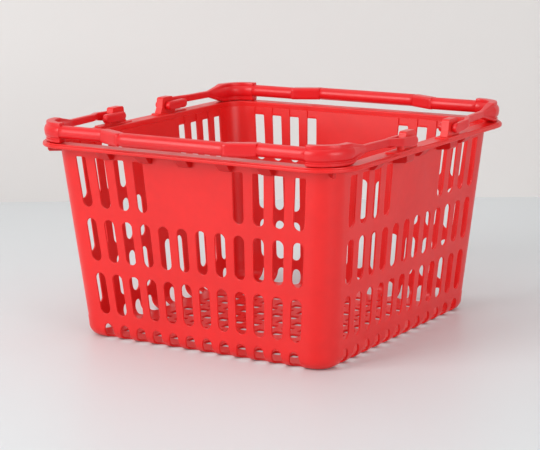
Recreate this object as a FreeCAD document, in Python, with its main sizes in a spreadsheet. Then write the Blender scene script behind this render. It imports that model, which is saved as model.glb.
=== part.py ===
import FreeCAD, Part
import Sketcher
import math
import os

# Shopping basket: one slotted tub (delivered as named regions that meet face to face)
# and two identical bail handles that fold outward over the front and rear rims.
# Millimetres, +Z up, +X along the front, floor at Z = 0, origin at the bottom centre.

doc = FreeCAD.newDocument("shopping_basket")
V = FreeCAD.Vector
ROT = FreeCAD.Rotation

DIMS = [
    ("half_width_floor", 183.0),      # outer half size along X at the floor
    ("half_depth_floor", 191.5),      # outer half size along Y at the floor
    ("draft_x", 0.0945),              # outward slope of the left and right walls
    ("draft_y", 0.0910),              # outward slope of the front and rear walls
    ("corner_radius", 30.0),
    ("wall_thick", 2.6),
    ("band_top", 26.0),               # top of the bottom edge band
    ("wall_top", 250.0),              # where the rim starts
    ("rim_top", 257.0),
    ("rim_plate", 3.0),
    ("rim_overhang", 22.5),
    ("lip_thick", 5.0),
    ("lip_bottom", 251.0),
    ("gusset_bottom", 238.2),
    ("gusset_wide", 19.0),
    ("gusset_pitch", 59.0),
    ("pitch_front", 25.05),           # slot column pitch at the floor, front and rear
    ("pitch_front_grow", 0.0177),     # pitch growth per mm of height
    ("pitch_side", 26.88),
    ("pitch_side_grow", 0.01196),
    ("slot_wide", 15.0),
    ("row_one_low", 175.0),
    ("row_one_high", 239.5),
    ("row_two_low", 104.4),
    ("row_two_high", 160.2),
    ("row_three_low", 34.2),
    ("row_three_high", 88.9),
    ("scallop_top", 21.5),
    ("scallop_wide", 17.4),           # at the floor
    ("scallop_arch", 6.6),            # radius of the arch at the top
    ("base_thick", 3.0),
    ("base_hole_x", 14.0),
    ("base_hole_y", 15.5),
    ("base_edge", 11.0),              # base reaches this far beyond the corner centre lines
    ("pad_top", 258.5),
    ("pad_half", 120.0),
    ("lug_thick", 10.0),
    ("lug_offset", 220.0),            # lug centre plane
    ("lug_foot_half", 18.0),
    ("lug_top", 280.0),
    ("lug_top_half", 12.5),
    ("lug_nose", 4.0),                # radius of the two top edges
    ("pivot_height", 268.0),
    ("pivot_offset", 58.0),
    ("pin_radius", 4.5),
    ("pin_hole_radius", 4.55),
    ("bar_radius", 8.5),
    ("bar_height", 271.5),
    ("bar_end_offset", 226.0),
    ("bar_grip_offset", 242.0),
    ("grip_half", 77.0),
    ("step_half", 111.0),
    ("fin_low", 257.4),
    ("fin_high", 283.0),
    ("fin_thick", 10.0),
    ("corner_bend", 33.0),            # bend radius of the corner, middle line
    ("slope_end", 162.0),             # corner plate has run down into the arm here
    ("corner_line", 211.5),           # middle plane of the corner plates along Y
    ("arm_in_face", 225.6),
    ("arm_thick", 6.5),
    ("arm_kink_line", 219.5),         # arm middle plane before it steps out to the lug
    ("arm_half", 4.6),
    ("arm_end_radius", 6.4),
    ("head_in_face", 207.0),
    ("head_thick", 7.0),
    ("head_half", 6.0),
    ("head_far", 95.0),
]
sheet = doc.addObject("Spreadsheet::Sheet", "dims")
for i, (alias, value) in enumerate(DIMS):
    cell = "B%d" % (i + 1)
    sheet.set("A%d" % (i + 1), alias)
    sheet.set(cell, "%g" % value)
    sheet.setAlias(cell, alias)
doc.recompute()
D = {alias: float(sheet.get(alias)) for alias, _ in DIMS}


def half(kind, z):
    """Outer half size of the tub at height z. kind x: front and rear walls run along X."""
    if kind == "x":
        return D["half_depth_floor"] + D["draft_y"] * z
    return D["half_width_floor"] + D["draft_x"] * z


def run(kind, z):
    """Half length of the flat part of a wall at height z."""
    return half("y" if kind == "x" else "x", z) - D["corner_radius"]


def plane(body, role):
    for feature in body.Origin.OriginFeatures:
        if feature.Role == role:
            return feature
    raise ValueError(role)


def new_body(label):
    body = doc.addObject("PartDesign::Body", label)
    body.Label = label
    return body


def new_sketch(body, name, role, offset=None):
    sketch = body.newObject("Sketcher::SketchObject", body.Name + "_" + name)
    sketch.AttachmentSupport = [(plane(body, role), "")]
    sketch.MapMode = "FlatFace"
    if offset is not None:
        sketch.AttachmentOffset = FreeCAD.Placement(V(0, 0, offset), ROT())
    return sketch


def wire(sketch, items):
    """items: list of points; a pair (mid, end) makes an arc through mid to end."""
    last = items[-1][1] if isinstance(items[-1][0], tuple) else items[-1]
    for item in items:
        if isinstance(item[0], tuple):
            mid, end = item
            sketch.addGeometry(Part.Arc(V(last[0], last[1], 0), V(mid[0], mid[1], 0), V(end[0], end[1], 0)), False)
        else:
            end = item
            if math.hypot(end[0] - last[0], end[1] - last[1]) > 1e-6:
                sketch.addGeometry(Part.LineSegment(V(last[0], last[1], 0), V(end[0], end[1], 0)), False)
        last = end


def symmetric(feature):
    if hasattr(feature, "SideType"):
        feature.SideType = "Symmetric"
    else:
        feature.Midplane = True


def pad(body, sketch, length, centred=False, name="pad", flip=False):
    feature = body.newObject("PartDesign::Pad", body.Name + "_" + name)
    feature.Profile = sketch
    if isinstance(length, str):
        feature.setExpression("Length", length)
    else:
        feature.Length = length
    if centred:
        symmetric(feature)
    feature.Reversed = flip
    sketch.Visibility = False
    return feature


def pocket(body, sketch, name="pocket"):
    feature = body.newObject("PartDesign::Pocket", body.Name + "_" + name)
    feature.Profile = sketch
    feature.Type = "ThroughAll"
    symmetric(feature)
    sketch.Visibility = False
    return feature


def stadium(sketch, low, high, radius, square_top=False):
    """Slanted slot between end points low and high (centres of its round ends)."""
    ax, az = low
    bx, bz = high
    n = math.hypot(bx - ax, bz - az)
    ux, uz = (bx - ax) / n, (bz - az) / n
    px, pz = uz * radius, -ux * radius
    a1, a2 = (ax + px, az + pz), (ax - px, az - pz)
    am = (ax - ux * radius, az - uz * radius)
    if square_top:
        b1, b2 = (bx + radius, bz), (bx - radius, bz)
        wire(sketch, [b1, b2, a2, (am, a1)])
    else:
        b1, b2 = (bx + px, bz + pz), (bx - px, bz - pz)
        bm = (bx + ux * radius, bz + uz * radius)
        wire(sketch, [b1, (bm, b2), a2, (am, a1)])


def turn(kind_side):
    return {"front": 0.0, "right": 90.0, "rear": 180.0, "left": 270.0}[kind_side]


def kind_of(side):
    return "x" if side in ("front", "rear") else "y"


def pitch(kind, z):
    if kind == "x":
        return D["pitch_front"] + D["pitch_front_grow"] * z
    return D["pitch_side"] + D["pitch_side_grow"] * z


# ---------------------------------------------------------------- walls
def make_wall(side):
    kind = kind_of(side)
    label = side + "_wall"
    body = new_body(label)
    z0, z1 = D["band_top"], D["wall_top"]
    o0, o1 = half(kind, z0), half(kind, z1)
    w = D["wall_thick"]
    slab = new_sketch(body, "section", "YZ_Plane")
    wire(slab, [(-o0, z0), (-o1, z1), (-o1 + w, z1), (-o0 + w, z0)])
    full = run(kind, z1)
    across = "2 * (dims.%s + dims.%s * dims.wall_top - dims.corner_radius)" % (
        ("half_width_floor", "draft_x") if kind == "x" else ("half_depth_floor", "draft_y"))
    pad(body, slab, across, centred=True, name="plate")
    cut = new_sketch(body, "openings", "XZ_Plane")
    r0 = run(kind, z0)
    grow = (full - r0) / (z1 - z0)
    for s in (-1, 1):
        wire(cut, [(s * (full + 5), z0 - 5), (s * (full + 5), z1 + 5), (s * (full + 5 * grow), z1 + 5), (s * (r0 - 5 * grow), z0 - 5)])
    r = D["slot_wide"] / 2
    for i in range(1, 13):
        c = i - 6.5
        for low, high in ((D["row_two_low"], D["row_two_high"]), (D["row_three_low"], D["row_three_high"])):
            stadium(cut, (c * pitch(kind, low + r), low + r), (c * pitch(kind, high - r), high - r), r)
        if i <= 4 or i >= 9:
            low, high = D["row_one_low"], D["row_one_high"]
            stadium(cut, (c * pitch(kind, low + r), low + r), (c * pitch(kind, high), high), r, square_top=True)
    pocket(body, cut, "slots")
    body.Placement = FreeCAD.Placement(V(0, 0, 0), ROT(V(0, 0, 1), turn(side)))
    return body


# ---------------------------------------------------------------- upright corners of the tub
def make_wall_corner(ends, label):
    """Quarter ring that leans outward with both walls it joins."""
    sx = 1 if "right" in ends else -1
    body = new_body(label)
    z0 = D["band_top"]
    cx = half("y", z0) - D["corner_radius"]
    cy = half("x", z0) - D["corner_radius"]
    ro, ri = D["corner_radius"], D["corner_radius"] - D["wall_thick"]
    ring = new_sketch(body, "ring", "XY_Plane", z0)
    k = math.sqrt(0.5)
    X, Y = sx * cx, -cy
    wire(ring, [(X + sx * ri, Y), (X + sx * ro, Y), ((X + sx * ro * k, Y - ro * k), (X, Y - ro)),
                (X, Y - ri), ((X + sx * ri * k, Y - ri * k), (X + sx * ri, Y))])
    feature = pad(body, ring, "dims.wall_top - dims.band_top", name="corner")
    feature.UseCustomVector = True
    feature.Direction = V(sx * D["draft_x"], -D["draft_y"], 1)
    feature.AlongSketchNormal = True
    if "rear" in ends:
        body.Placement = FreeCAD.Placement(V(0, 0, 0), ROT(V(0, 0, 1), 180))
    return body


# ---------------------------------------------------------------- bottom edge bands
def band_profile(sketch, sign):
    """Section of the bottom edge, measured outward from the corner centre line."""
    z0 = D["band_top"]
    k = math.sqrt(0.5)
    ro = D["corner_radius"] + 0.4
    b = ro - 1.0
    c = b - 15.5
    ri = D["corner_radius"] - D["wall_thick"]
    t = D["base_thick"]
    e = D["base_edge"]
    q = 15.5 - t
    pts = [(e, 0), (c, 0), ((c + 15.5 * k, 15.5 - 15.5 * k), (b, 15.5)), (ro, z0), (ri, z0), (c + q, 15.5),
           ((c + q * k, 15.5 - q * k), (c, t)), (e, t)]
    out = []
    for p in pts:
        if isinstance(p[0], tuple):
            out.append(((sign * p[0][0], p[0][1]), (sign * p[1][0], p[1][1])))
        else:
            out.append((sign * p[0], p[1]))
    wire(sketch, out)


def centre_line(kind, z):
    return half(kind, z) - D["corner_radius"]


def make_band(side):
    kind = kind_of(side)
    body = new_body(side + "_bottom_edge")
    sec = new_sketch(body, "section", "YZ_Plane")
    band_profile(sec, -1)
    across = "2 * (dims.%s + dims.%s * dims.band_top - dims.corner_radius)" % (
        ("half_width_floor", "draft_x") if kind == "x" else ("half_depth_floor", "draft_y"))
    pad(body, sec, across, centred=True, name="band")
    cut = new_sketch(body, "scallops", "XZ_Plane")
    r = D["scallop_arch"]
    w = D["scallop_wide"] / 2
    top = D["scallop_top"]
    for i in range(1, 13):
        c = (i - 6.5) * pitch(kind, 8.0)
        wire(cut, [(c + w, -2), (c + w, 1), (c + r, top - r), ((c, top), (c - r, top - r)), (c - w, 1), (c - w, -2)])
    pocket(body, cut, "scallop_cut")
    offset = centre_line(kind, D["band_top"])
    ang = turn(side)
    rot = ROT(V(0, 0, 1), ang)
    body.Placement = FreeCAD.Placement(rot.multVec(V(0, -offset, 0)), rot)
    return body


def corner_place(ends, z):
    """Corner centre and the turn that carries +X to the first end of the quarter."""
    sx = 1 if "right" in ends else -1
    sy = 1 if "rear" in ends else -1
    base = V(sx * centre_line("y", z), sy * centre_line("x", z), 0)
    ang = {(1, 1): 0.0, (-1, 1): 90.0, (-1, -1): 180.0, (1, -1): 270.0}[(sx, sy)]
    return FreeCAD.Placement(base, ROT(V(0, 0, 1), ang))


def revolve_quarter(body, sketch, name):
    feature = body.newObject("PartDesign::Revolution", body.Name + "_" + name)
    feature.Profile = sketch
    feature.ReferenceAxis = (sketch, ["V_Axis"])
    feature.Angle = 90.0
    sketch.Visibility = False
    return feature


def make_band_corner(ends, label):
    body = new_body(label)
    sec = new_sketch(body, "section", "XZ_Plane")
    band_profile(sec, 1)
    revolve_quarter(body, sec, "turned")
    body.Placement = corner_place(ends, D["band_top"])
    return body


# ---------------------------------------------------------------- rim
def rim_profile(sketch, sign):
    ri = D["corner_radius"] - D["wall_thick"]
    ro = D["corner_radius"]
    out = ro + D["rim_overhang"]
    z0, z1 = D["wall_top"], D["rim_top"]
    under = z1 - D["rim_plate"]
    lipi = out - D["lip_thick"]
    low = D["lip_bottom"]
    k = math.sqrt(0.5)
    pts = [(ri, z0), (ro, z0), (ro, under), (lipi, under), (lipi, low + 1), (lipi + 1, low), (out - 1.5, low),
           (out, low + 1.5), (out, z1 - 3.0), ((out - 3.0 + 3.0 * k, z1 - 3.0 + 3.0 * k), (out - 3.0, z1)),
           (ri + 1.0, z1), (ri, z1 - 1.0)]
    res = []
    for p in pts:
        if isinstance(p[0], tuple):
            res.append(((sign * p[0][0], p[0][1]), (sign * p[1][0], p[1][1])))
        else:
            res.append((sign * p[0], p[1]))
    wire(sketch, res)


def make_rim(side):
    kind = kind_of(side)
    body = new_body(side + "_rim")
    sec = new_sketch(body, "section", "YZ_Plane")
    rim_profile(sec, -1)
    across = "2 * (dims.%s + dims.%s * dims.wall_top - dims.corner_radius)" % (
        ("half_width_floor", "draft_x") if kind == "x" else ("half_depth_floor", "draft_y"))
    pad(body, sec, across, centred=True, name="flange")
    # wedge gussets between the tub and the lip
    ro = D["corner_radius"]
    lip = ro + D["rim_overhang"] - D["lip_thick"] + 0.5
    under = D["rim_top"] - D["rim_plate"]
    low = D["gusset_bottom"]
    slope = D["draft_y"] if kind == "x" else D["draft_x"]
    foot = ro + 0.03 - slope * (D["wall_top"] - low)
    for n in range(5):
        gus = new_sketch(body, "gusset_%d" % (n + 1), "YZ_Plane", (n - 2) * D["gusset_pitch"])
        wire(gus, [(-ro - 0.03, under + 0.5), (-lip, under + 0.5), (-lip, D["lip_bottom"] + 1.2), (-foot - 0.6, low), (-foot, low),
                   (-ro - 0.03, D["wall_top"])])
        pad(body, gus, "dims.gusset_wide", centred=True, name="wedge_%d" % (n + 1))
    if kind == "y":
        plate = new_sketch(body, "lug_pad", "XY_Plane", D["rim_top"] - 2.0)
        a = D["corner_radius"] + 6.0
        b = D["corner_radius"] + D["rim_overhang"] + 1.2
        h = D["pad_half"]
        wire(plate, [(-h, -a), (-h + 8, -b), (h - 8, -b), (h, -a)])
        pad(body, plate, "dims.pad_top - dims.rim_top + 2", name="lug_seat")
    offset = centre_line(kind, D["wall_top"])
    rot = ROT(V(0, 0, 1), turn(side))
    body.Placement = FreeCAD.Placement(rot.multVec(V(0, -offset, 0)), rot)
    return body


def make_rim_corner(ends, label):
    body = new_body(label)
    sec = new_sketch(body, "section", "XZ_Plane")
    rim_profile(sec, 1)
    revolve_quarter(body, sec, "turned")
    body.Placement = corner_place(ends, D["wall_top"])
    return body


# ---------------------------------------------------------------- base
def make_base():
    body = new_body("base_grille")
    cx = centre_line("y", D["band_top"])
    cy = centre_line("x", D["band_top"])
    e = D["base_edge"]
    k = math.sqrt(0.5)
    sk = new_sketch(body, "outline", "XY_Plane")
    wire(sk, [(cx, -cy - e), ((cx + e * k, -cy - e * k), (cx + e, -cy)), (cx + e, cy), ((cx + e * k, cy + e * k), (cx, cy + e)),
              (-cx, cy + e), ((-cx - e * k, cy + e * k), (-cx - e, cy)), (-cx - e, -cy), ((-cx - e * k, -cy - e * k), (-cx, -cy - e))])
    pad(body, sk, "dims.base_thick", name="plate")
    holes = new_sketch(body, "lattice", "XY_Plane")
    hx, hy = D["base_hole_x"] / 2, D["base_hole_y"] / 2
    for i in range(12):
        for j in range(12):
            x = (i - 5.5) * D["pitch_front"]
            y = (j - 5.5) * D["pitch_side"]
            wire(holes, [(x + hx, y - hy), (x + hx, y + hy), (x - hx, y + hy), (x - hx, y - hy)])
    pocket(body, holes, "lattice_cut")
    return body


# ---------------------------------------------------------------- hinge lugs
def make_lug(label, sx, sy):
    body = new_body(label)
    sk = new_sketch(body, "outline", "YZ_Plane")
    z0, zp, zt = D["pad_top"], D["pivot_height"], D["lug_top"]
    t, f, c = D["lug_top_half"], D["lug_foot_half"], D["lug_nose"]
    q = c * (1 - math.sqrt(0.5))
    wire(sk, [(-f, z0), (f, z0), (t + 1.5, zp - 2.0), (t, zt - c), ((t - q, zt - q), (t - c, zt)),
              (c - t, zt), ((q - t, zt - q), (-t, zt - c)), (-t - 1.5, zp - 2.0)])
    pad(body, sk, "dims.lug_thick", centred=True, name="lug")
    hole = new_sketch(body, "bore", "YZ_Plane")
    hole.addGeometry(Part.Circle(V(0, zp, 0), V(0, 0, 1), D["pin_hole_radius"]), False)
    hole.addConstraint(Sketcher.Constraint("Radius", 0, D["pin_hole_radius"]))
    hole.setExpression("Constraints[0]", "dims.pin_hole_radius")
    pocket(body, hole, "bore_cut")
    body.Placement = FreeCAD.Placement(V(sx * D["lug_offset"], sy * D["pivot_offset"], 0), ROT())
    return body


# ---------------------------------------------------------------- handles
def rounded_path(sketch, pts, radius):
    """Open line path with tangent arcs at the inner points."""
    out = [pts[0]]
    start = V(pts[0][0], pts[0][1], 0)
    for i in range(1, len(pts) - 1):
        p = V(pts[i][0], pts[i][1], 0)
        a = (V(pts[i - 1][0], pts[i - 1][1], 0) - p).normalize()
        b = (V(pts[i + 1][0], pts[i + 1][1], 0) - p).normalize()
        ang = math.acos(max(-1.0, min(1.0, a.dot(b))))
        cut = radius / math.tan(ang / 2)
        p1, p2 = p + a * cut, p + b * cut
        bis = (a + b).normalize()
        centre = p + bis * (radius / math.sin(ang / 2))
        mid = centre + (p - centre).normalize() * radius
        sketch.addGeometry(Part.LineSegment(start, p1), False)
        sketch.addGeometry(Part.Arc(p1, mid, p2), False)
        start = p2
    sketch.addGeometry(Part.LineSegment(start, V(pts[-1][0], pts[-1][1], 0)), False)
    return sketch


def make_handle(label, rear):
    """Built for the front; the rear handle is the same moulding turned half round."""
    body = new_body(label)
    ye, yg, zb = -D["bar_end_offset"], -D["bar_grip_offset"], D["bar_height"]
    g, st, xo, R = D["grip_half"], D["step_half"], D["corner_line"], D["corner_bend"]
    yc = ye + R
    path = new_sketch(body, "bar_path", "XY_Plane", zb)
    rounded_path(path, [(-xo, yc + 1), (-xo, ye), (-st, ye), (-g, yg), (g, yg), (st, ye), (xo, ye), (xo, yc + 1)], R)
    prof = new_sketch(body, "bar_section", "XZ_Plane", -yc - 1)
    prof.addGeometry(Part.Circle(V(-xo, zb, 0), V(0, 0, 1), D["bar_radius"]), False)
    prof.addConstraint(Sketcher.Constraint("Radius", 0, D["bar_radius"]))
    prof.setExpression("Constraints[0]", "dims.bar_radius")
    doc.recompute()
    pipe = body.newObject("PartDesign::AdditivePipe", body.Name + "_bar")
    pipe.Profile = prof
    pipe.Spine = (path, ["Edge%d" % (n + 1) for n in range(path.GeometryCount)])
    pipe.Mode = "Frenet"
    path.Visibility = False
    prof.Visibility = False
    # corner plates: fin above the bar, skirt below it
    ft = D["fin_thick"] / 2
    fin = new_sketch(body, "corner_plates", "XY_Plane", D["fin_low"])
    k = math.sqrt(0.5)
    for s in (-1, 1):
        cx = xo - R
        wire(fin, [(s * cx, ye - ft), ((s * (cx + (R + ft) * k), yc - (R + ft) * k), (s * (xo + ft), yc)),
                   (s * (xo + ft), yc + 3), (s * (xo - ft), yc + 3), (s * (xo - ft), yc),
                   ((s * (cx + (R - ft) * k), yc - (R - ft) * k), (s * cx, ye + ft))])
    pad(body, fin, "dims.fin_high - dims.fin_low", name="corner_blocks")
    # side arms: a flat bar that splays out, steps out beside the lug and ends round the pin
    zp, yp, ah = D["pivot_height"], -D["pivot_offset"], D["arm_half"]
    at = D["arm_thick"] / 2
    xk = D["arm_kink_line"]
    xe = D["arm_in_face"] + at
    for tag, s in (("right", 1), ("left", -1)):
        slope = new_sketch(body, tag + "_slope", "YZ_Plane", s * (xo + 1.2))
        wire(slope, [(yc, D["fin_low"]), (yc + 3, D["fin_low"]), (-D["slope_end"], zb - ah), (-D["slope_end"], zb + ah),
                     (yc + 3, D["fin_high"]), (yc, D["fin_high"])])
        pad(body, slope, "dims.arm_thick + 1.2", centred=True, name=tag + "_slope_block")
        strip = new_sketch(body, tag + "_arm_strip", "XY_Plane", zb - ah)
        wire(strip, [(s * (xo - at), yc), (s * (xo + at), yc), (s * (xk + at), -108), (s * (xe + at), -89),
                     (s * (xe + at), -80), (s * (xe - at), -80), (s * (xe - at), -91), (s * (xk - at), -110)])
        pad(body, strip, "2 * dims.arm_half", name=tag + "_arm")
        inner = new_sketch(body, tag + "_arm_end", "YZ_Plane", s * xe)
        er = D["arm_end_radius"]
        wire(inner, [(-89, zb - ah), (yp, zp - er), ((yp + er, zp), (yp, zp + er)), (-89, zb + ah)])
        pad(body, inner, "dims.arm_thick", centred=True, name=tag + "_arm_eye")
        pin = new_sketch(body, tag + "_pin", "YZ_Plane", s * (D["head_in_face"] + 1.0))
        pin.addGeometry(Part.Circle(V(yp, zp, 0), V(0, 0, 1), D["pin_radius"]), False)
        pin.addConstraint(Sketcher.Constraint("Radius", 0, D["pin_radius"]))
        pin.setExpression("Constraints[0]", "dims.pin_radius")
        pad(body, pin, "dims.arm_in_face - dims.head_in_face + 1", name=tag + "_pivot", flip=(s < 0))
        head = new_sketch(body, tag + "_head", "YZ_Plane", s * (D["head_in_face"] + D["head_thick"] / 2))
        hh = D["head_half"]
        yn, yq = yp + 2.0, -D["head_far"] + hh
        wire(head, [(yq, zp - hh), (yn, zp - hh), ((yn + hh, zp), (yn, zp + hh)), (yq, zp + hh), ((yq - hh, zp), (yq, zp - hh))])
        pad(body, head, "dims.head_thick", centred=True, name=tag + "_retainer")
    if rear:
        body.Placement = FreeCAD.Placement(V(0, 0, 0), ROT(V(0, 0, 1), 180))
    return body


nodes = []
for side in ("front", "rear", "left", "right"):
    nodes.append(make_wall(side))
for side in ("front", "rear", "left", "right"):
    nodes.append(make_band(side))
for side in ("front", "rear", "left", "right"):
    nodes.append(make_rim(side))
nodes.append(make_base())
for fr in ("front", "rear"):
    for lr in ("left", "right"):
        ends = fr + "_" + lr
        sx = 1 if lr == "right" else -1
        sy = 1 if fr == "rear" else -1
        # a rear corner is the opposite front corner turned half round
        native = ends if fr == "front" else fr + "_" + ("left" if lr == "right" else "right")
        nodes.append(make_wall_corner(native, ends + "_wall_corner"))
        nodes.append(make_band_corner(ends, ends + "_bottom_corner"))
        nodes.append(make_rim_corner(ends, ends + "_rim_corner"))
        nodes.append(make_lug(ends + "_lug", sx, sy))
nodes.append(make_handle("front_handle", False))
nodes.append(make_handle("rear_handle", True))

doc.recompute()

bad = []
for obj in doc.Objects:
    if "Invalid" in obj.State or "Error" in obj.State:
        bad.append(obj.Name + " " + str(obj.State))
for body in nodes:
    if body.Shape.isNull() or not body.Shape.isValid():
        bad.append(body.Label + " shape")
    elif len(body.Shape.Solids) != 1:
        bad.append(body.Label + " solids %d" % len(body.Shape.Solids))
if bad:
    raise RuntimeError("bad objects: " + "; ".join(bad))

os.makedirs("parts", exist_ok=True)
total = 0.0
for body in nodes:
    body.Shape.exportStep("parts/" + body.Label + ".step")
    total += body.Shape.Volume
    bb = body.Shape.BoundBox
    print("%-28s vol %10.1f  x %7.1f %7.1f  y %7.1f %7.1f  z %7.1f %7.1f" % (
        body.Label, body.Shape.Volume, bb.XMin, bb.XMax, bb.YMin, bb.YMax, bb.ZMin, bb.ZMax))
print("nodes", len(nodes), "volume", total)
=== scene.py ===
import bpy, bmesh, math
import numpy as np
from mathutils import Vector, Matrix
from mathutils.geometry import delaunay_2d_cdt


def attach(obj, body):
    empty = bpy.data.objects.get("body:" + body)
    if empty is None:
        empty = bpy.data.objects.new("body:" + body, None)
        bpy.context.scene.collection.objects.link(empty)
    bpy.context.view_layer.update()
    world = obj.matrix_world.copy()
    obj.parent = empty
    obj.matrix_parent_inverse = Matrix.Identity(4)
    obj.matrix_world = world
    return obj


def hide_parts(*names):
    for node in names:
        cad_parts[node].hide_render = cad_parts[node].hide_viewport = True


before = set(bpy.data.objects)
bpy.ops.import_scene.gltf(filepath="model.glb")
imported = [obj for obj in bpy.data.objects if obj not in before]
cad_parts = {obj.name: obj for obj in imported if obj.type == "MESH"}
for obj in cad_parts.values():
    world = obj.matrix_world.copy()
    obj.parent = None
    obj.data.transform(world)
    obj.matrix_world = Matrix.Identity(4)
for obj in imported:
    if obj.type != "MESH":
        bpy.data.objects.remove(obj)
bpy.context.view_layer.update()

MM = 0.001

# ------------------------------------------------------------------ sizes (mm), the same as the solids
HW, HD = 183.0, 191.5            # outer half sizes at the floor
TX, TY = 0.0945, 0.0910          # wall slopes
RC = 30.0                        # upright corner radius
T = 2.6                          # wall thickness
BAND, WTOP = 26.0, 250.0
TB = 3.0                         # base thickness
CX26, CY26 = HW + TX * BAND - RC, HD + TY * BAND - RC
CX250, CY250 = HW + TX * WTOP - RC, HD + TY * WTOP - RC
PIV_Y, PIV_Z = 58.0, 268.0


# ------------------------------------------------------------------ materials
def node(nt, kind, x, y, **inputs):
    n = nt.nodes.new(kind)
    n.location = (x, y)
    for k, v in inputs.items():
        n.inputs[k.replace("_", " ")].default_value = v
    return n


def red_plastic(name, base, rough, grain, wear, wave):
    """Moulded polypropylene: slight flow mottling, fine grain, scuffed edges and a soft gloss."""
    m = bpy.data.materials.new(name)
    m.use_nodes = True
    nt = m.node_tree
    nt.nodes.clear()
    out = nt.nodes.new("ShaderNodeOutputMaterial"); out.location = (900, 0)
    bs = nt.nodes.new("ShaderNodeBsdfPrincipled"); bs.location = (600, 0)
    nt.links.new(bs.outputs["BSDF"], out.inputs["Surface"])
    bs.inputs["IOR"].default_value = 1.49
    bs.inputs["Subsurface Weight"].default_value = 0.05
    bs.inputs["Subsurface Radius"].default_value = (0.9, 0.12, 0.08)
    bs.inputs["Subsurface Scale"].default_value = 0.0025
    bs.inputs["Specular IOR Level"].default_value = 0.5
    tc = nt.nodes.new("ShaderNodeTexCoord"); tc.location = (-1100, 0)
    # colour: large soft flow marks plus small mottling
    n1 = node(nt, "ShaderNodeTexNoise", -850, 250, Scale=9.0, Detail=3.0, Roughness=0.55)
    n2 = node(nt, "ShaderNodeTexNoise", -850, 0, Scale=75.0, Detail=4.0, Roughness=0.6)
    nt.links.new(tc.outputs["Object"], n1.inputs["Vector"])
    nt.links.new(tc.outputs["Object"], n2.inputs["Vector"])
    r1 = nt.nodes.new("ShaderNodeValToRGB"); r1.location = (-600, 250)
    r1.color_ramp.elements[0].position = 0.3
    r1.color_ramp.elements[0].color = (base[0] * 0.93, base[1] * 0.80, base[2] * 0.80, 1)
    r1.color_ramp.elements[1].position = 0.72
    r1.color_ramp.elements[1].color = (min(1, base[0] * 1.04), base[1] * 1.15, base[2] * 1.15, 1)
    nt.links.new(n1.outputs["Fac"], r1.inputs["Fac"])
    mix = nt.nodes.new("ShaderNodeMixRGB"); mix.location = (-250, 200); mix.blend_type = "MULTIPLY"
    mix.inputs["Fac"].default_value = 0.12
    nt.links.new(r1.outputs["Color"], mix.inputs["Color1"])
    nt.links.new(n2.outputs["Color"], mix.inputs["Color2"])
    # scuffs along edges
    geo = nt.nodes.new("ShaderNodeNewGeometry"); geo.location = (-1100, -500)
    rp = nt.nodes.new("ShaderNodeValToRGB"); rp.location = (-850, -500)
    rp.color_ramp.elements[0].position = 0.58
    rp.color_ramp.elements[1].position = 0.70
    nt.links.new(geo.outputs["Pointiness"], rp.inputs["Fac"])
    n3 = node(nt, "ShaderNodeTexNoise", -850, -250, Scale=140.0, Detail=6.0, Roughness=0.7)
    nt.links.new(tc.outputs["Object"], n3.inputs["Vector"])
    mm = nt.nodes.new("ShaderNodeMath"); mm.operation = "MULTIPLY"; mm.location = (-550, -400)
    nt.links.new(rp.outputs["Color"], mm.inputs[0]); nt.links.new(n3.outputs["Fac"], mm.inputs[1])
    m2 = nt.nodes.new("ShaderNodeMath"); m2.operation = "MULTIPLY"; m2.location = (-380, -400)
    m2.inputs[1].default_value = wear
    nt.links.new(mm.outputs[0], m2.inputs[0])
    mix2 = nt.nodes.new("ShaderNodeMixRGB"); mix2.location = (0, 150)
    mix2.inputs["Color2"].default_value = (0.95, 0.28, 0.26, 1)
    nt.links.new(m2.outputs[0], mix2.inputs["Fac"])
    nt.links.new(mix.outputs["Color"], mix2.inputs["Color1"])
    nt.links.new(mix2.outputs["Color"], bs.inputs["Base Color"])
    # roughness variation
    rr = nt.nodes.new("ShaderNodeMapRange"); rr.location = (0, -150)
    rr.inputs["From Min"].default_value = 0.3; rr.inputs["From Max"].default_value = 0.7
    rr.inputs["To Min"].default_value = rough - 0.05; rr.inputs["To Max"].default_value = rough + 0.07
    n4 = node(nt, "ShaderNodeTexNoise", -250, -150, Scale=28.0, Detail=5.0, Roughness=0.65)
    nt.links.new(tc.outputs["Object"], n4.inputs["Vector"])
    nt.links.new(n4.outputs["Fac"], rr.inputs["Value"])
    nt.links.new(rr.outputs["Result"], bs.inputs["Roughness"])
    # fine moulded grain and slow sink waviness
    n5 = node(nt, "ShaderNodeTexNoise", 0, -450, Scale=1400.0, Detail=2.0, Roughness=0.5)
    n6 = node(nt, "ShaderNodeTexNoise", 0, -700, Scale=22.0, Detail=1.0, Roughness=0.5)
    nt.links.new(tc.outputs["Object"], n5.inputs["Vector"])
    nt.links.new(tc.outputs["Object"], n6.inputs["Vector"])
    b1 = nt.nodes.new("ShaderNodeBump"); b1.location = (250, -450)
    b1.inputs["Strength"].default_value = grain; b1.inputs["Distance"].default_value = 0.0002
    b2 = nt.nodes.new("ShaderNodeBump"); b2.location = (250, -700)
    b2.inputs["Strength"].default_value = wave; b2.inputs["Distance"].default_value = 0.0006
    nt.links.new(n5.outputs["Fac"], b1.inputs["Height"])
    nt.links.new(n6.outputs["Fac"], b2.inputs["Height"])
    nt.links.new(b2.outputs["Normal"], b1.inputs["Normal"])
    nt.links.new(b1.outputs["Normal"], bs.inputs["Normal"])
    return m


MAT_TUB = red_plastic("red_pp_tub", (0.83, 0.010, 0.009), 0.34, 0.16, 0.12, 0.20)
# darker red for the blocks under the rim: painted shade for the rim's shadow on them
MAT_RIM_SHADE = red_plastic("red_pp_painted_shade", (0.67, 0.006, 0.006), 0.36, 0.16, 0.10, 0.15)
MAT_HANDLE = red_plastic("red_pp_handle", (0.80, 0.009, 0.013), 0.33, 0.02, 0.02, 0.04)


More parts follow.
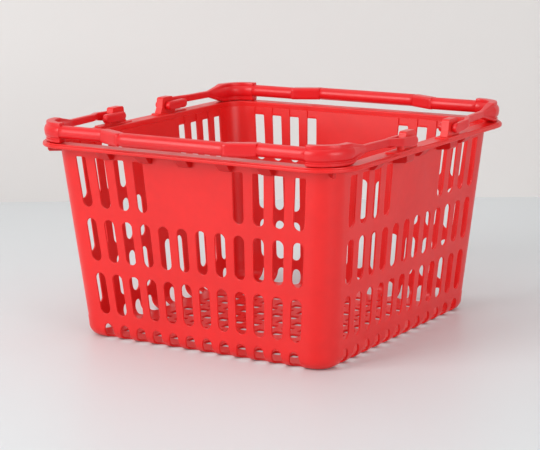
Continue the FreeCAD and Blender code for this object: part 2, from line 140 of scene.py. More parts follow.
# ------------------------------------------------------------------ mesh helpers
def make_object(name, verts, faces, mat, body, smooth=True, weighted=True, sharp=None):
    me = bpy.data.meshes.new(name)
    me.from_pydata([(v[0] * MM, v[1] * MM, v[2] * MM) for v in verts], [], faces)
    me.validate(verbose=False)
    bm = bmesh.new(); bm.from_mesh(me)
    bmesh.ops.remove_doubles(bm, verts=bm.verts, dist=2e-6)
    bmesh.ops.dissolve_degenerate(bm, dist=1e-7, edges=bm.edges)
    bmesh.ops.recalc_face_normals(bm, faces=bm.faces)
    bm.to_mesh(me); bm.free()
    ob = bpy.data.objects.new(name, me)
    bpy.context.scene.collection.objects.link(ob)
    me.materials.append(mat)
    if smooth:
        for p in me.polygons:
            p.use_smooth = True
        if sharp is not None:
            me.set_sharp_from_angle(angle=math.radians(sharp))
    if weighted:
        w = ob.modifiers.new("weighted", "WEIGHTED_NORMAL")
        w.keep_sharp = True
        w.weight = 60
    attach(ob, body)
    return ob


def prism(outline, depth, axis_map):
    """Closed prism: outline is a loop of 2-D points, depth (d0, d1); axis_map turns (u, v, d) into x, y, z."""
    n = len(outline)
    v = [axis_map(p[0], p[1], depth[0]) for p in outline] + [axis_map(p[0], p[1], depth[1]) for p in outline]
    f = [list(range(n))[::-1], list(range(n, 2 * n))]
    for i in range(n):
        j = (i + 1) % n
        f.append([i, j, n + j, n + i])
    return v, f


def add_bevel(ob, width, segs=3, angle=30):
    b = ob.modifiers.new("bevel", "BEVEL")
    b.width = width * MM
    b.segments = segs
    b.limit_method = "ANGLE"
    b.angle_limit = math.radians(angle)
    b.harden_normals = False
    # the weighted normals come last
    w = ob.modifiers.get("weighted")
    if w:
        ob.modifiers.remove(w)
    w = ob.modifiers.new("weighted", "WEIGHTED_NORMAL")
    w.keep_sharp = False
    w.weight = 60
    return b


def arc(cx, cy, r, a0, a1, n):
    return [(cx + r * math.cos(math.radians(a0 + (a1 - a0) * i / n)), cy + r * math.sin(math.radians(a0 + (a1 - a0) * i / n)))
            for i in range(n + 1)]


# ------------------------------------------------------------------ tub section: s -> outer (rho, z), inner (rho, z)
RO = RC + 0.4
FB = RO - 1.0                 # outer fillet reaches this rho at z = 15.5
FC = FB - 15.5                # fillet centre
S_FLAT = 15.5 - 15.5 * math.pi / 2
S_MIN = S_FLAT - (FC - 11.0)


def section(s, w):
    if s >= BAND + 0.35:
        out = (RC, s)
    elif s >= BAND - 0.35:
        k = (s - (BAND - 0.35)) / 0.7
        out = (RO + (RC - RO) * k, s)
    elif s >= 15.5:
        out = (FB + (RO - FB) * (s - 15.5) / (BAND - 0.35 - 15.5), s)
    elif s >= S_FLAT:
        th = (15.5 - s) / 15.5
        out = (FC + 15.5 * math.cos(th), 15.5 - 15.5 * math.sin(th))
    else:
        out = (FC - (S_FLAT - s), 0.0)
    ri = RC - T
    q = 15.5 - TB
    if s >= BAND:
        inn = (ri, s)
    elif s >= 15.5:
        inn = (FC + q + (ri - FC - q) * (s - 15.5) / (BAND - 15.5), s)
    elif s >= S_FLAT:
        th = (15.5 - s) / 15.5
        inn = (FC + q * math.cos(th), 15.5 - q * math.sin(th))
    else:
        inn = (FC - (S_FLAT - s), TB)
    return (out[0] + (inn[0] - out[0]) * w, out[1] + (inn[1] - out[1]) * w)


def lean(z):
    return max(0.0, z - BAND)


def wall_point(side, a, s, w, push=0.0):
    """a runs along the wall (local +X), local -Y is outward. push moves inward, mm."""
    rho, z = section(s, w)
    rho -= push
    m = lean(z)
    if side in ("front", "rear"):
        y = -(CY26 + TY * m + rho)
    else:
        y = -(CX26 + TX * m + rho)
    return TURN[side](a, y, z)


TURN = {
    "front": lambda x, y, z: (x, y, z),
    "right": lambda x, y, z: (-y, x, z),
    "rear": lambda x, y, z: (-x, -y, z),
    "left": lambda x, y, z: (y, -x, z),
}


def run_at(side, s):
    m = lean(s)
    return (CX26 + TX * m) if side in ("front", "rear") else (CY26 + TY * m)


def corner_point(sx, sy, phi, s, w):
    rho, z = section(s, w)
    m = lean(z)
    cx, cy = CX26 + TX * m, CY26 + TY * m
    return (sx * (cx + rho * math.cos(phi)), sy * (cy + rho * math.sin(phi)), z)


def pitch(side, z):
    return 25.05 + 0.0177 * z if side in ("front", "rear") else 26.88 + 0.01196 * z


# loops: functions of the growth e that give the outline in (a, s)
def stadium_loop(lo, hi, r, n=9):
    def f(e):
        ax, az = lo; bx, bz = hi
        L = math.hypot(bx - ax, bz - az)
        ux, uz = (bx - ax) / L, (bz - az) / L
        base = math.degrees(math.atan2(uz, ux))
        pts = arc(bx, bz, r + e, base - 90, base + 90, n) + arc(ax, az, r + e, base + 90, base + 270, n)
        return pts
    return f


def tall_loop(lo, hi, r, n=9):
    """Round bottom, square top with small corners."""
    def f(e):
        ax, az = lo; bx, bz = hi
        c = 1.6 + e
        top = bz + e
        R = r + e
        pts = arc(bx + R - c, top - c, c, 0, 90, 3) + arc(bx - R + c, top - c, c, 90, 180, 3)
        pts += arc(ax, az, R, 180, 360, n)
        return pts
    return f


def scallop_loop(c):
    def f(e):
        rt, rb, bottom = 6.6 + e, 8.7 + e, 9.0 + e
        zt = 21.5 - 6.6
        zb = 0.0
        pts = arc(c, zt, rt, 8, 172, 10)
        left = []
        x0, y0 = pts[-1]
        x1, y1 = c - rb, zb
        for k in range(1, 7):
            left.append((x0 + (x1 - x0) * k / 7, y0 + (y1 - y0) * k / 7))
        pts += left
        for k in range(0, 13):
            a = math.radians(180 + 180 * k / 12)
            pts.append((c + rb * math.cos(a), zb + bottom * math.sin(a)))
        for p in left[::-1]:
            pts.append((2 * c - p[0], p[1]))
        return pts
    return f


def side_loops(side):
    loops = []
    r = 7.5
    for i in range(1, 13):
        c = i - 6.5
        for lo, hi in ((104.4, 160.2), (34.2, 88.9)):
            loops.append(stadium_loop((c * pitch(side, lo + r), lo + r), (c * pitch(side, hi - r), hi - r), r))
        if i <= 4 or i >= 9:
            lo, hi = 175.0, 239.5
            loops.append(tall_loop((c * pitch(side, lo + r), lo + r), (c * pitch(side, hi), hi), r))
        loops.append(scallop_loop(c * pitch(side, 8.0)))
    return loops


S_LEVELS = [S_MIN, S_FLAT] + [15.5 - 15.5 * math.radians(a) for a in (78.75, 67.5, 56.25, 45, 33.75, 22.5, 11.25)] + \
    [15.5, 20.0, BAND - 0.35, BAND + 0.35, 34.0, 60.0, 90.0, 130.0, 167.0, 205.0, 240.0, WTOP]
EDGE = 0.85           # rounding of slot edges, mm
ARCN = 4


def inside(pts, poly):
    """numpy point in polygon."""
    x, y = pts[:, 0], pts[:, 1]
    res = np.zeros(len(pts), bool)
    n = len(poly)
    for i in range(n):
        x0, y0 = poly[i]; x1, y1 = poly[(i + 1) % n]
        cond = ((y0 > y) != (y1 > y))
        if y0 == y1:
            continue
        t = (x1 - x0) * (y - y0) / (y1 - y0) + x0
        res ^= cond & (x < t)
    return res


def triangulate(points, edges):
    out = delaunay_2d_cdt([Vector(p) for p in points], edges, [], 0, 1e-5, True)
    vs, _, fs, ov, _, _ = out
    m = [o[0] if o else None for o in ov]
    if any(q is None for q in m):
        raise RuntimeError("triangulation added points")
    return [[m[i] for i in f] for f in fs]


def build_side(side, verts, faces):
    loops = side_loops(side)
    pts, edges, push = [], [], []

    def add(p, d=0.0):
        pts.append((float(p[0]), float(p[1]))); push.append(d)
        return len(pts) - 1

    def chain(ids, closed=False):
        for i in range(len(ids) - 1):
            edges.append((ids[i], ids[i + 1]))
        if closed:
            edges.append((ids[-1], ids[0]))

    right = [add((run_at(side, s), s)) for s in S_LEVELS]
    left = [add((-run_at(side, s), s)) for s in S_LEVELS]
    chain(right); chain(left)
    # rows along the bottom, the ledge and the top
    half = run_at(side, BAND)
    nb = 24
    rows = {}
    top_marks = {}
    for s in (S_MIN, BAND - 0.35, BAND + 0.35, WTOP):
        w = run_at(side, s)
        k = S_LEVELS.index(s)
        if s == WTOP:
            marks = []
            for i in (1, 2, 3, 4, 9, 10, 11, 12):
                c = (i - 6.5) * pitch(side, 245.0)
                marks += [(c - 8.0, i, 0), (c - 7.3, i, 1), (c + 7.3, i, 2), (c + 8.0, i, 3)]
            line = marks + [(-w + 2 * w * i / nb, None, None) for i in range(1, nb)
                            if min(abs(-w + 2 * w * i / nb - m[0]) for m in marks) > 2.0]
            ids = [left[k]]
            for x, i, q in sorted(line, key=lambda m: m[0]):
                ids.append(add((x, s)))
                if i is not None:
                    top_marks[(i, q)] = ids[-1]
            ids.append(right[k])
        else:
            ids = [left[k]] + [add((-w + 2 * w * i / nb, s)) for i in range(1, nb)] + [right[k]]
        rows[s] = ids
        chain(ids)
    # points that keep the rounded bottom smooth beside the end scallops
    cmax = 5.5 * pitch(side, 8.0)
    for s in S_LEVELS[1:10]:
        for sg in (-1, 1):
            for x in np.linspace(cmax + 12.0, half, 3)[:-1]:
                add((sg * x, s))
    # slanted recess above each tall slot
    ring0 = []
    polys = []
    for f in loops:
        loop = f(EDGE)
        ids = [add(p) for p in loop]
        chain(ids, True)
        ring0.append(ids)
        polys.append(loop)
    recess = []
    for i in (1, 2, 3, 4, 9, 10, 11, 12):
        c = (i - 6.5) * pitch(side, 245.0)
        zb = 239.5 + EDGE + 0.35
        a = add((c - 8.0, zb)); b = add((c + 8.0, zb))
        chain([top_marks[(i, 0)], a, b, top_marks[(i, 3)]])
        a2 = add((c - 7.3, zb + 0.7)); b2 = add((c + 7.3, zb + 0.7))
        chain([top_marks[(i, 1)], a2, b2, top_marks[(i, 2)]])
        recess.append((c - 7.35, c + 7.35, zb + 0.6))
    tris = triangulate(pts, edges)
    arr = np.array(pts)
    cen = np.array([(arr[t[0]] + arr[t[1]] + arr[t[2]]) / 3 for t in tris])
    drop = np.zeros(len(tris), bool)
    for poly in polys:
        drop |= inside(cen, poly)
    # outside of the wall strip
    edge_r = np.interp(cen[:, 1], [BAND, WTOP], [run_at(side, BAND), run_at(side, WTOP)])
    drop |= np.abs(cen[:, 0]) > edge_r + 1e-4
    tris = [t for t, d in zip(tris, drop) if not d]
    o = len(verts)
    for p, d in zip(pts, push):
        verts.append(wall_point(side, p[0], p[1], 0.0, d))
    i0 = len(verts)
    for p in pts:
        back = any(l <= p[0] <= r and p[1] >= q for l, r, q in recess)
        verts.append(wall_point(side, p[0], p[1], 1.0, -1.75 if back else 0.0))
    for t in tris:
        faces.append([o + k for k in t])
        faces.append([i0 + k for k in t[::-1]])
    # rounded walls of the openings
    rings = []
    for k in range(1, ARCN + 1):
        a = math.pi / 2 * k / ARCN
        rings.append((EDGE * (1 - math.sin(a)), EDGE / T * (1 - math.cos(a))))
    rings = rings + [(e, 1 - w) for e, w in rings[::-1]]
    for f, ids in zip(loops, ring0):
        prev = [o + k for k in ids]
        n = len(ids)
        for e, w in rings:
            loop = f(e)
            base = len(verts)
            for p in loop:
                verts.append(wall_point(side, p[0], p[1], w))
            cur = list(range(base, base + n))
            for j in range(n):
                j2 = (j + 1) % n
                faces.append([prev[j2], prev[j], cur[j], cur[j2]])
            prev = cur
        cur = [i0 + k for k in ids]
        for j in range(n):
            j2 = (j + 1) % n
            faces.append([prev[j2], prev[j], cur[j], cur[j2]])
    # top edge strip between outer and inner surface
    top = rows[WTOP]
    for j in range(len(top) - 1):
        faces.append([o + top[j], o + top[j + 1], i0 + top[j + 1], i0 + top[j]])


NPHI = 10


def build_corner(sx, sy, verts, faces):
    for w in (0.0, 1.0):
        grid = []
        for s in S_LEVELS:
            row = []
            for k in range(NPHI + 1):
                verts.append(corner_point(sx, sy, math.pi / 2 * k / NPHI, s, w))
                row.append(len(verts) - 1)
            grid.append(row)
        for i in range(len(grid) - 1):
            for k in range(NPHI):
                faces.append([grid[i][k], grid[i][k + 1], grid[i + 1][k + 1], grid[i + 1][k]])
        if w == 0.0:
            top0 = grid[-1]
        else:
            top1 = grid[-1]
    for k in range(NPHI):
        faces.append([top0[k], top0[k + 1], top1[k + 1], top1[k]])


def build_base(verts, faces):
    pts, edges = [], []

    def add(p):
        pts.append((float(p[0]), float(p[1])))
        return len(pts) - 1

    nb = 24
    loop = []
    e = 11.0
    # outline, matching the bottom row of the sides and corners
    for i in range(nb):
        loop.append((-CX26 + 2 * CX26 * i / nb, -CY26 - e))
    for k in range(NPHI):
        a = math.pi / 2 * k / NPHI
        loop.append((CX26 + e * math.sin(a), -CY26 - e * math.cos(a)))
    for i in range(nb):
        loop.append((CX26 + e, -CY26 + 2 * CY26 * i / nb))
    for k in range(NPHI):
        a = math.pi / 2 * k / NPHI
        loop.append((CX26 + e * math.cos(a), CY26 + e * math.sin(a)))
    for i in range(nb):
        loop.append((CX26 - 2 * CX26 * i / nb, CY26 + e))
    for k in range(NPHI):
        a = math.pi / 2 * k / NPHI
        loop.append((-CX26 - e * math.sin(a), CY26 + e * math.cos(a)))
    for i in range(nb):
        loop.append((-CX26 - e, CY26 - 2 * CY26 * i / nb))
    for k in range(NPHI):
        a = math.pi / 2 * k / NPHI
        loop.append((-CX26 - e * math.cos(a), -CY26 - e * math.sin(a)))
    ids = [add(p) for p in loop]
    for i in range(len(ids)):
        edges.append((ids[i], ids[(i + 1) % len(ids)]))

    def hole(cx, cy, g, n=3):
        hx, hy, c = 7.0 + g, 7.75 + g, 2.0 + g
        return (arc(cx + hx - c, cy + hy - c, c, 0, 90, n) + arc(cx - hx + c, cy + hy - c, c, 90, 180, n)
                + arc(cx - hx + c, cy - hy + c, c, 180, 270, n) + arc(cx + hx - c, cy - hy + c, c, 270, 360, n))

    cells = [((i - 5.5) * 25.05, (j - 5.5) * 26.88) for i in range(12) for j in range(12)]
    E2 = 0.6
    ring0 = []
    for cx, cy in cells:
        h = [add(p) for p in hole(cx, cy, E2)]
        for j in range(len(h)):
            edges.append((h[j], h[(j + 1) % len(h)]))
        ring0.append(h)
    tris = triangulate(pts, edges)
    arr = np.array(pts)
    cen = np.array([(arr[t[0]] + arr[t[1]] + arr[t[2]]) / 3 for t in tris])
    keep = []
    fx, fy = cen[:, 0] / 25.05 + 5.5, cen[:, 1] / 26.88 + 5.5
    ix, iy = np.clip(np.round(fx), 0, 11), np.clip(np.round(fy), 0, 11)
    dx, dy = np.abs(cen[:, 0] - (ix - 5.5) * 25.05), np.abs(cen[:, 1] - (iy - 5.5) * 26.88)
    for t, a, b, c in zip(tris, dx, dy, cen):
        h = (a < 7.6) and (b < 8.35)
        if h:
            # inside the hole, unless it is one of the small corner slivers outside the rounding
            qx, qy = a - (7.6 - 2.6), b - (8.35 - 2.6)
            if qx > 0 and qy > 0 and math.hypot(qx, qy) > 2.6:
                h = False
        if not h:
            keep.append(t)
    # drop what lies outside the rounded outline
    out = []
    for t in keep:
        c = (arr[t[0]] + arr[t[1]] + arr[t[2]]) / 3
        qx, qy = abs(c[0]) - CX26, abs(c[1]) - CY26
        if qx > 0 and qy > 0 and math.hypot(qx, qy) > e * math.cos(math.pi / 4 / NPHI):
            continue
        out.append(t)
    o = len(verts)
    for p in pts:
        verts.append((p[0], p[1], 0.0))
    i0 = len(verts)
    for p in pts:
        verts.append((p[0], p[1], TB))
    for t in out:
        faces.append([o + k for k in t[::-1]])
        faces.append([i0 + k for k in t])
    rings = []
    for k in range(1, 3):
        a = math.pi / 2 * k / 2
        rings.append((E2 * (1 - math.sin(a)), E2 * (1 - math.cos(a))))
    rings = rings + [(g, TB - z) for g, z in rings[::-1]]
    for (cx, cy), h in zip(cells, ring0):
        prev = [o + k for k in h]
        n = len(h)
        for g, z in rings:
            base = len(verts)
            for p in hole(cx, cy, g):
                verts.append((p[0], p[1], z))
            cur = list(range(base, base + n))
            for j in range(n):
                j2 = (j + 1) % n
                faces.append([prev[j], prev[j2], cur[j2], cur[j]])
            prev = cur
        cur = [i0 + k for k in h]
        for j in range(n):
            j2 = (j + 1) % n
            faces.append([prev[j], prev[j2], cur[j2], cur[j]])


TUB_NODES = [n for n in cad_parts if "handle" not in n and "lug" not in n]
SHELL_NODES = [n for n in TUB_NODES if "rim" not in n]
RIM_NODES = [n for n in TUB_NODES if "rim" in n]

verts, faces = [], []
for side in ("front", "right", "rear", "left"):
    build_side(side, verts, faces)
for sx in (-1, 1):
    for sy in (-1, 1):
        build_corner(sx, sy, verts, faces)
build_base(verts, faces)
shell = make_object("tub_shell", verts, faces, MAT_TUB, "tub", sharp=50)
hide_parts(*SHELL_NODES)

# ------------------------------------------------------------------ rim: one profile carried round the top
def rim_profile():
    p = [(29.3, 249.4), (29.3, 255.7)]
    p += arc(30.6, 255.7, 1.3, 180, 90, 4)[1:]
    p += [(34.0, 257.0), (49.5, 257.0), (49.9, 256.85), (50.05, 256.5), (50.1, 255.75), (50.4, 255.55)]
    p += arc(51.1, 254.15, 1.4, 90, 0, 6)
    p += [(52.5, 252.3)]
    p += arc(51.2, 252.3, 1.3, 0, -90, 4)[1:]
    p += [(48.9, 251.0)]
    p += arc(48.9, 252.3, 1.3, -90, -180, 3)[1:]
    p += [(47.6, 253.4), (47.0, 254.0), (31.4, 254.0), (30.4, 253.4), (29.95, 252.6), (29.95, 249.4)]
    return p


def sweep_rim(profile, verts, faces):
    nlat = 16
    stations = []
    for k in range(nlat):
        stations.append(("f", -CX250 + 2 * CX250 * k / nlat))
    path = []
    for k in range(nlat):
        path.append(((-CX250 + 2 * CX250 * k / nlat, -CY250), (0, -1)))
    N = 16
    for k in range(N):
        a = -math.pi / 2 + math.pi / 2 * k / N
        path.append(((CX250, -CY250), (math.cos(a), math.sin(a))))
    for k in range(nlat):
        path.append(((CX250, -CY250 + 2 * CY250 * k / nlat), (1, 0)))
    for k in range(N):
        a = math.pi / 2 * k / N
        path.append(((CX250, CY250), (math.cos(a), math.sin(a))))
    for k in range(nlat):
        path.append(((CX250 - 2 * CX250 * k / nlat, CY250), (0, 1)))
    for k in range(N):
        a = math.pi / 2 + math.pi / 2 * k / N
        path.append(((-CX250, CY250), (math.cos(a), math.sin(a))))
    for k in range(nlat):
        path.append(((-CX250, CY250 - 2 * CY250 * k / nlat), (-1, 0)))
    for k in range(N):
        a = math.pi + math.pi / 2 * k / N
        path.append(((-CX250, -CY250), (math.cos(a), math.sin(a))))
    base = len(verts)
    n = len(profile)
    for c, d in path:
        for r, z in profile:
            verts.append((c[0] + d[0] * r, c[1] + d[1] * r, z))
    m = len(path)
    for i in range(m):
        i2 = (i + 1) % m
        for j in range(n):
            j2 = (j + 1) % n
            faces.append([base + i * n + j, base + i2 * n + j, base + i2 * n + j2, base + i * n + j2])


verts, faces = [], []
sweep_rim(rim_profile(), verts, faces)
rim = make_object("tub_rim", verts, faces, MAT_TUB, "tub", sharp=50)
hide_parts(*RIM_NODES)

# ------------------------------------------------------------------ blocks under the rim, five to a side, and a rib at each corner
verts, faces = [], []


def add_solid(v, f):
    b = len(verts)
    verts.extend(v)
    faces.extend([[b + i for i in q] for q in f])


for side in ("front", "right", "rear", "left"):
    c0 = CY250 if side in ("front", "rear") else CX250
    for k in range(5):
        x = (k - 2) * 59.0
        if side in ("left", "right") and k in (1, 3):
            prof, wide, low = [(49.4, 254.3), (49.0, 243.2), (46.5, 240.8), (28.4, 239.4), (29.3, 249.2), (30.2, 252.4), (31.2, 254.3)], 10.6, 9.4
        else:
            prof, wide, low = [(46.6, 254.3), (46.2, 252.8), (35.4, 240.9), (33.8, 240.0), (28.4, 239.4), (29.3, 249.2), (30.2, 252.4), (31.2, 254.3)], 9.4, 8.0
        v = []
        for sgn in (-1, 1):
            for r, z in prof:
                v.append(TURN[side](x + sgn * (wide if z > 245 else low), -(c0 + r), z))
        n = len(prof)
        f = [list(range(n)), list(range(n, 2 * n))[::-1]]
        for i in range(n):
            j = (i + 1) % n
            f.append([j, i, n + i, n + j])
        add_solid(v, f)
for sx in (-1, 1):
    for sy in (-1, 1):
        d = Vector((sx, sy)).normalized()
        t = Vector((-d.y, d.x))
        prof = [(46.8, 254.3), (46.4, 246.0), (45.0, 243.7), (28.6, 243.2), (29.3, 249.2), (30.2, 252.4), (31.2, 254.3)]
        v = []
        for sgn in (-1, 1):
            for r, z in prof:
                q = Vector((sx * CX250, sy * CY250)) + d * r + t * (2.0 * sgn)
                v.append((q.x, q.y, z))
        n = len(prof)
        f = [list(range(n)), list(range(n, 2 * n))[::-1]]
        for i in range(n):
            j = (i + 1) % n
            f.append([j, i, n + i, n + j])
        add_solid(v, f)
# the blocks and corner ribs get the darker red, painted shade for the rim's shadow
gus = make_object("rim_gussets", verts, faces, MAT_RIM_SHADE, "tub", sharp=None)
add_bevel(gus, 0.8, 3)

# ------------------------------------------------------------------ lug seats on the side rims
verts, faces = [], []
for side in ("right", "left"):
    for sgn in (-1, 1):
        a, b = 36.0, 52.0
        outline = [(30.0, a), (101.0, a), (98.0, b - 3.5), (93.0, b), (37.0, b), (32.0, b - 3.5)]
        outline = [(sgn * x, r) for x, r in outline]
        o = len(verts)
        for z in (253.2, 258.5):
            for x, r in outline:
                verts.append(TURN[side](x, -(CX250 + r), z))
        n = len(outline)
        faces.append([o + i for i in range(n)][::-1]); faces.append([o + n + i for i in range(n)])
        for i in range(n):
            j = (i + 1) % n
            faces.append([o + i, o + j, o + n + j, o + n + i])
seat = make_object("lug_seats", verts, faces, MAT_TUB, "tub", sharp=None)
add_bevel(seat, 1.0, 3)

# the hinge lugs keep their solids
for name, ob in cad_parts.items():
    if "lug" in name:
        ob.data.materials.clear()
        ob.data.materials.append(MAT_TUB)
        for p in ob.data.polygons:
            p.use_smooth = True
        b = ob.modifiers.new("bevel", "BEVEL")
        b.width = 0.9 * MM
        b.segments = 3
        b.limit_method = "ANGLE"
        b.angle_limit = math.radians(35)
        w = ob.modifiers.new("weighted", "WEIGHTED_NORMAL")
        w.weight = 60

# ------------------------------------------------------------------ handles
def plan(points, radii, step=1.5):
    """Dense plan path through corner points with tangent arcs."""
    pts = [Vector((p[0], p[1])) for p in points]
    out = [pts[0]]
    for i in range(1, len(pts) - 1):
        p, r = pts[i], radii[i]
        a = (pts[i - 1] - p).normalized()
        b = (pts[i + 1] - p).normalized()
        ang = math.acos(max(-1, min(1, a.dot(b))))
        cut = r / math.tan(ang / 2)
        p1, p2 = p + a * cut, p + b * cut
        c = p + (a + b).normalized() * (r / math.sin(ang / 2))
        v1, v2 = p1 - c, p2 - c
        turn = math.atan2(v1.x * v2.y - v1.y * v2.x, v1.dot(v2))
        k = max(3, int(abs(turn) * r / step))
        for q in range(k + 1):
            t = turn * q / k
            out.append(c + Vector((v1.x * math.cos(t) - v1.y * math.sin(t), v1.x * math.sin(t) + v1.y * math.cos(t))))
    out.append(pts[-1])
    return out


class Rail:
    """Plan line measured along its length, with the outward normal."""

    def __init__(self, pts):
        self.p = [pts[0]]
        for q in pts[1:]:
            if (q - self.p[-1]).length > 1e-6:
                self.p.append(q)
        self.s = [0.0]
        for a, b in zip(self.p, self.p[1:]):
            self.s.append(self.s[-1] + (b - a).length)

    def at(self, s):
        s = max(0.0, min(self.s[-1], s))
        i = max(1, min(len(self.s) - 1, int(np.searchsorted(self.s, s))))
        a, b = self.p[i - 1], self.p[i]
        k = (s - self.s[i - 1]) / (self.s[i] - self.s[i - 1])
        return a + (b - a) * k

    def frame(self, s):
        q = self.at(s)
        d = (self.at(s + 0.8) - self.at(s - 0.8)).normalized()
        return q.x, q.y, d.y, -d.x

    def where(self, axis, value):
        """Length at which the given coordinate first reaches the value."""
        for i in range(1, len(self.p)):
            a, b = self.p[i - 1][axis], self.p[i][axis]
            if a <= value <= b and b > a:
                return self.s[i - 1] + (self.s[i] - self.s[i - 1]) * (value - a) / (b - a)
        raise ValueError(value)


BAR_Z = 271.5
YE, YG = -226.0, -242.0
NH = 21


def whole(half):
    """Outer half from the bottom to the top, mirrored to the inner side."""
    return half + [(-n, z) for n, z in half[1:-1][::-1]]


def round_bar(r):
    return whole([(r * math.cos(math.radians(-90 + 9 * i)), BAR_Z + r * math.sin(math.radians(-90 + 9 * i))) for i in range(NH)])


def flat_bar(a, b, c, zc):
    c = min(c, a * 0.95, b * 0.95)
    h = [(0, -b), (0.5 * (a - c), -b)]
    h += [(a - c + c * math.cos(math.radians(t)), -b + c + c * math.sin(math.radians(t))) for t in (-90, -67.5, -45, -22.5, 0)]
    lo, hi = -b + c, b - c
    h += [(a, lo + (hi - lo) * k / 8) for k in range(1, 8)]
    h += [(a - c + c * math.cos(math.radians(t)), b - c + c * math.sin(math.radians(t))) for t in (0, 22.5, 45, 67.5, 90)]
    h += [(0.5 * (a - c), b), (0, b)]
    return whole([(n, zc + z) for n, z in h])


PLATE = [(0, -14.0), (4.4, -14.0), (5.7, -13.7), (6.3, -13.0), (6.4, -12.0), (6.4, -10.0), (5.3, -9.4), (5.3, -8.2), (7.0, -7.2), (7.9, -4.4),
         (8.4, -0.4), (8.2, 2.2), (7.4, 4.4), (6.3, 6.0), (5.5, 6.6), (5.5, 7.6), (5.5, 8.8), (5.5, 10.2), (5.1, 11.1), (3.6, 11.4), (0, 11.4)]


def plate(inset=0.0):
    return whole([(max(0.0, n - inset) if n else 0, BAR_Z + z - (inset if z > 10 else -inset if z < -12 else 0)) for n, z in PLATE])


def blend(p, q, k):
    return [(a[0] + (b[0] - a[0]) * k, a[1] + (b[1] - a[1]) * k) for a, b in zip(p, q)]


def soft(k):
    k = max(0.0, min(1.0, k))
    return k * k * (3 - 2 * k)


def grow(p, d):
    """Profile drawn in towards its middle by d."""
    cz = sum(z for _, z in p) / len(p)
    out = []
    for n, z in p:
        r = math.hypot(n, z - cz)
        k = max(0.0, (r - d) / r) if r else 1
        out.append((n * k, cz + (z - cz) * k))
    return out


def handle_rings():
    rail = Rail(plan([(0, YG), (77, YG), (111, YE), (211.5, YE), (219.5, -109.0), (228.85, -90.0), (228.85, -58.0)],
                     [0, 9, 9, 33, 12, 12, 0]))
    s1, s2 = rail.where(0, 75.5), rail.where(0, 112.5)
    s3 = rail.where(0, 178.5)
    s4, s5 = rail.where(1, -190.5), rail.where(1, -160.0)
    s6 = rail.where(1, -108.0)
    send = rail.s[-1]
    rings = []

    def ring(s, prof):
        x, y, nx, ny = rail.frame(s)
        rings.append([(x + nx * n, y + ny * n, z) for n, z in prof])

    def span(a, b, f, step=3.0):
        k = max(1, int(math.ceil((b - a) / step)))
        for i in range(k + 1):
            ring(a + (b - a) * i / k, f((a + (b - a) * i / k)))

    grip, bar = round_bar(8.5), round_bar(8.3)
    block = flat_bar(8.1, 8.2, 3.4, BAR_Z)
    span(0.0, s1 - 0.6, lambda s: grip, 6.0)
    ring(s1 - 0.2, grow(grip, 0.25))
    ring(s1 + 0.1, grow(block, 0.5))
    span(s1 + 0.6, s2 - 0.6, lambda s: block, 1.6)
    ring(s2 - 0.1, grow(block, 0.5))
    ring(s2 + 0.2, grow(bar, 0.15))
    span(s2 + 0.6, s3 - 0.4, lambda s: bar, 6.0)
    ring(s3 - 0.05, plate(0.55))
    ring(s3 + 0.12, plate(0.2))
    span(s3 + 0.55, s4, lambda s: plate(), 1.7)
    arm0 = flat_bar(3.25, 4.7, 1.6, BAR_Z)
    span(s4 + 1.0, s5, lambda s: blend(plate(), arm0, ((s - s4) / (s5 - s4)) ** 0.9), 1.5)
    span(s5 + 2.0, s6, lambda s: arm0, 4.0)

    def eye(s):
        k = soft((s - s6) / (send - s6 - 3.0))
        return flat_bar(3.2, 4.7 + 1.6 * k, 1.6, BAR_Z - 3.5 * k)

    span(s6 + 1.0, send, eye, 1.6)
    # rounded end of the eye
    x, y, nx, ny = rail.frame(send)
    for a in (12, 24, 36, 48, 60, 70, 79, 86):
        r = 6.3
        prof = flat_bar(3.2 - (0.25 if a > 75 else 0.0), r * math.cos(math.radians(a)), 1.6, 268.0)
        rings.append([(228.85 + n, -58.0 + r * math.sin(math.radians(a)), z) for n, z in prof])
    return rings


def handle_mesh():
    verts, faces = [], []
    right_half = handle_rings()
    rings = [[(-x, y, z) for x, y, z in r] for r in right_half[:0:-1]] + right_half
    n = len(rings[0])
    for r in rings:
        verts.extend(r)
    m = len(rings)
    for i in range(m - 1):
        for j in range(n):
            j2 = (j + 1) % n
            faces.append([i * n + j, i * n + j2, (i + 1) * n + j2, (i + 1) * n + j])
    faces.append([j for j in range(n)][::-1])
    faces.append([(m - 1) * n + j for j in range(n)])

    def loft(loops):
        base = len(verts)
        k = len(loops[0])
        for l in loops:
            verts.extend(l)
        for i in range(len(loops) - 1):
            for j in range(k):
                j2 = (j + 1) % k
                faces.append([base + i * k + j, base + i * k + j2, base + (i + 1) * k + j2, base + (i + 1) * k + j])
        faces.append([base + j for j in range(k)][::-1])
        faces.append([base + (len(loops) - 1) * k + j for j in range(k)])

    for s in (-1, 1):
        # pivot pin through the lug
        loft([[(s * x, -58.0 + 4.4 * math.cos(2 * math.pi * k / 32), 268.0 + 4.4 * math.sin(2 * math.pi * k / 32)) for k in range(32)]
              for x in (208.5, 227.0)])
        # its retaining head, turned along the arm on the inner side
        loops = []
        for x, r in ((207.05, 3.9), (207.3, 4.9), (207.9, 5.6), (208.9, 5.95), (210.0, 6.0), (213.4, 6.0), (213.8, 5.8), (214.0, 5.4)):
            l = [(s * x, -56.0 + r * math.cos(math.radians(t)), 268.0 + r * math.sin(math.radians(t))) for t in range(-90, 91, 10)]
            l += [(s * x, -89.0 + r * math.cos(math.radians(t)), 268.0 + r * math.sin(math.radians(t))) for t in range(90, 271, 10)]
            loops.append(l)
        loft(loops)
    return verts, faces


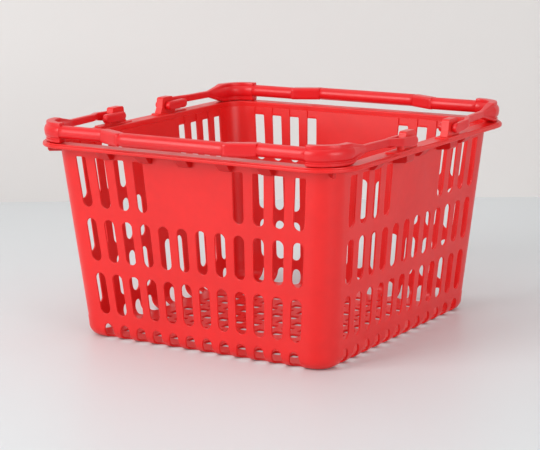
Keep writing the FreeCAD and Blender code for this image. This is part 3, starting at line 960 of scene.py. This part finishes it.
for name, body, rear in (("front_bail_moulding", "front_bail", False), ("rear_bail_moulding", "rear_bail", True)):
    verts, faces = handle_mesh()
    if rear:
        verts = [(-v[0], -v[1], v[2]) for v in verts]
    ob = make_object(name, verts, faces, MAT_HANDLE, body, weighted=False, sharp=48)
    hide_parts("rear_handle" if rear else "front_handle")

# ------------------------------------------------------------------ stage
def pale(name, col, rough):
    m = bpy.data.materials.new(name)
    m.use_nodes = True
    nt = m.node_tree
    bs = nt.nodes["Principled BSDF"]
    bs.inputs["Roughness"].default_value = rough
    n = nt.nodes.new("ShaderNodeTexNoise")
    n.inputs["Scale"].default_value = 6.0
    r = nt.nodes.new("ShaderNodeValToRGB")
    r.color_ramp.elements[0].color = (col[0] * 0.97, col[1] * 0.97, col[2] * 0.97, 1)
    r.color_ramp.elements[1].color = (col[0], col[1], col[2], 1)
    nt.links.new(n.outputs["Fac"], r.inputs["Fac"])
    nt.links.new(r.outputs["Color"], bs.inputs["Base Color"])
    return m


def stage_plane(name, pts, mat):
    me = bpy.data.meshes.new(name)
    me.from_pydata(pts, [], [list(range(len(pts)))])
    ob = bpy.data.objects.new(name, me)
    bpy.context.scene.collection.objects.link(ob)
    me.materials.append(mat)
    return ob


floor = stage_plane("floor", [(-6, -6, 0), (6, -6, 0), (6, 6, 0), (-6, 6, 0)], pale("floor_mat", (0.72, 0.748, 0.762), 0.45))

# ------------------------------------------------------------------ camera
YAW, PIT, ROL = 0.56204, 0.20498, -0.009995
K = 1.36
CAM = Vector((922.319 * K, -1500.385 * K, (477.653 - 21.5) * K)) * MM
fwd = Vector((-math.sin(YAW) * math.cos(PIT), math.cos(YAW) * math.cos(PIT), -math.sin(PIT)))
right = Vector((math.cos(YAW), math.sin(YAW), 0))
up = right.cross(fwd)
r2 = right * math.cos(ROL) + up * math.sin(ROL)
u2 = -right * math.sin(ROL) + up * math.cos(ROL)
cam = bpy.data.cameras.new("camera")
cam.sensor_width = 36.0
cam.lens = 1852.59 * 36 / 540
cam.shift_x = (270 - 259.04) / 540
cam.shift_y = (230.77 - 225) / 540
cam.clip_end = 50
co = bpy.data.objects.new("camera", cam)
bpy.context.scene.collection.objects.link(co)
co.matrix_world = Matrix(((r2.x, u2.x, -fwd.x, CAM.x), (r2.y, u2.y, -fwd.y, CAM.y), (r2.z, u2.z, -fwd.z, CAM.z), (0, 0, 0, 1)))
bpy.context.scene.camera = co

# back wall, square to the camera's heading, where the floor ends
back = Vector((-math.sin(YAW), math.cos(YAW), 0))
side = Vector((math.cos(YAW), math.sin(YAW), 0))
B0 = back * 0.862
wall = stage_plane("backdrop", [tuple(B0 - side * 6), tuple(B0 + side * 6), tuple(B0 + side * 6 + Vector((0, 0, 5))), tuple(B0 - side * 6 + Vector((0, 0, 5)))],
                   pale("wall_mat", (0.735, 0.718, 0.702), 0.9))

# ------------------------------------------------------------------ light
def area(name, loc, target, size, power, col=(1, 1, 1)):
    l = bpy.data.lights.new(name, "AREA")
    l.shape = "RECTANGLE"
    l.size, l.size_y = size
    l.energy = power
    l.color = col
    o = bpy.data.objects.new(name, l)
    bpy.context.scene.collection.objects.link(o)
    o.location = loc
    d = Vector(target) - Vector(loc)
    o.rotation_euler = d.to_track_quat("-Z", "Y").to_euler()
    return o


area("key", (-1.25, -2.60, 1.45), (0, 0, 0.15), (1.7, 2.0), 58)
area("top", (0.1, -0.3, 2.9), (0, 0, 0.1), (2.4, 2.4), 16)
area("fill", (2.6, -1.0, 0.85), (0, 0, 0.15), (1.6, 1.2), 24)
world = bpy.data.worlds.new("world")
bpy.context.scene.world = world
world.use_nodes = True
world.node_tree.nodes["Background"].inputs[0].default_value = (1, 1, 1, 1)
world.node_tree.nodes["Background"].inputs[1].default_value = 0.50
bpy.context.scene.view_settings.view_transform = "Standard"
bpy.context.scene.view_settings.look = "None"
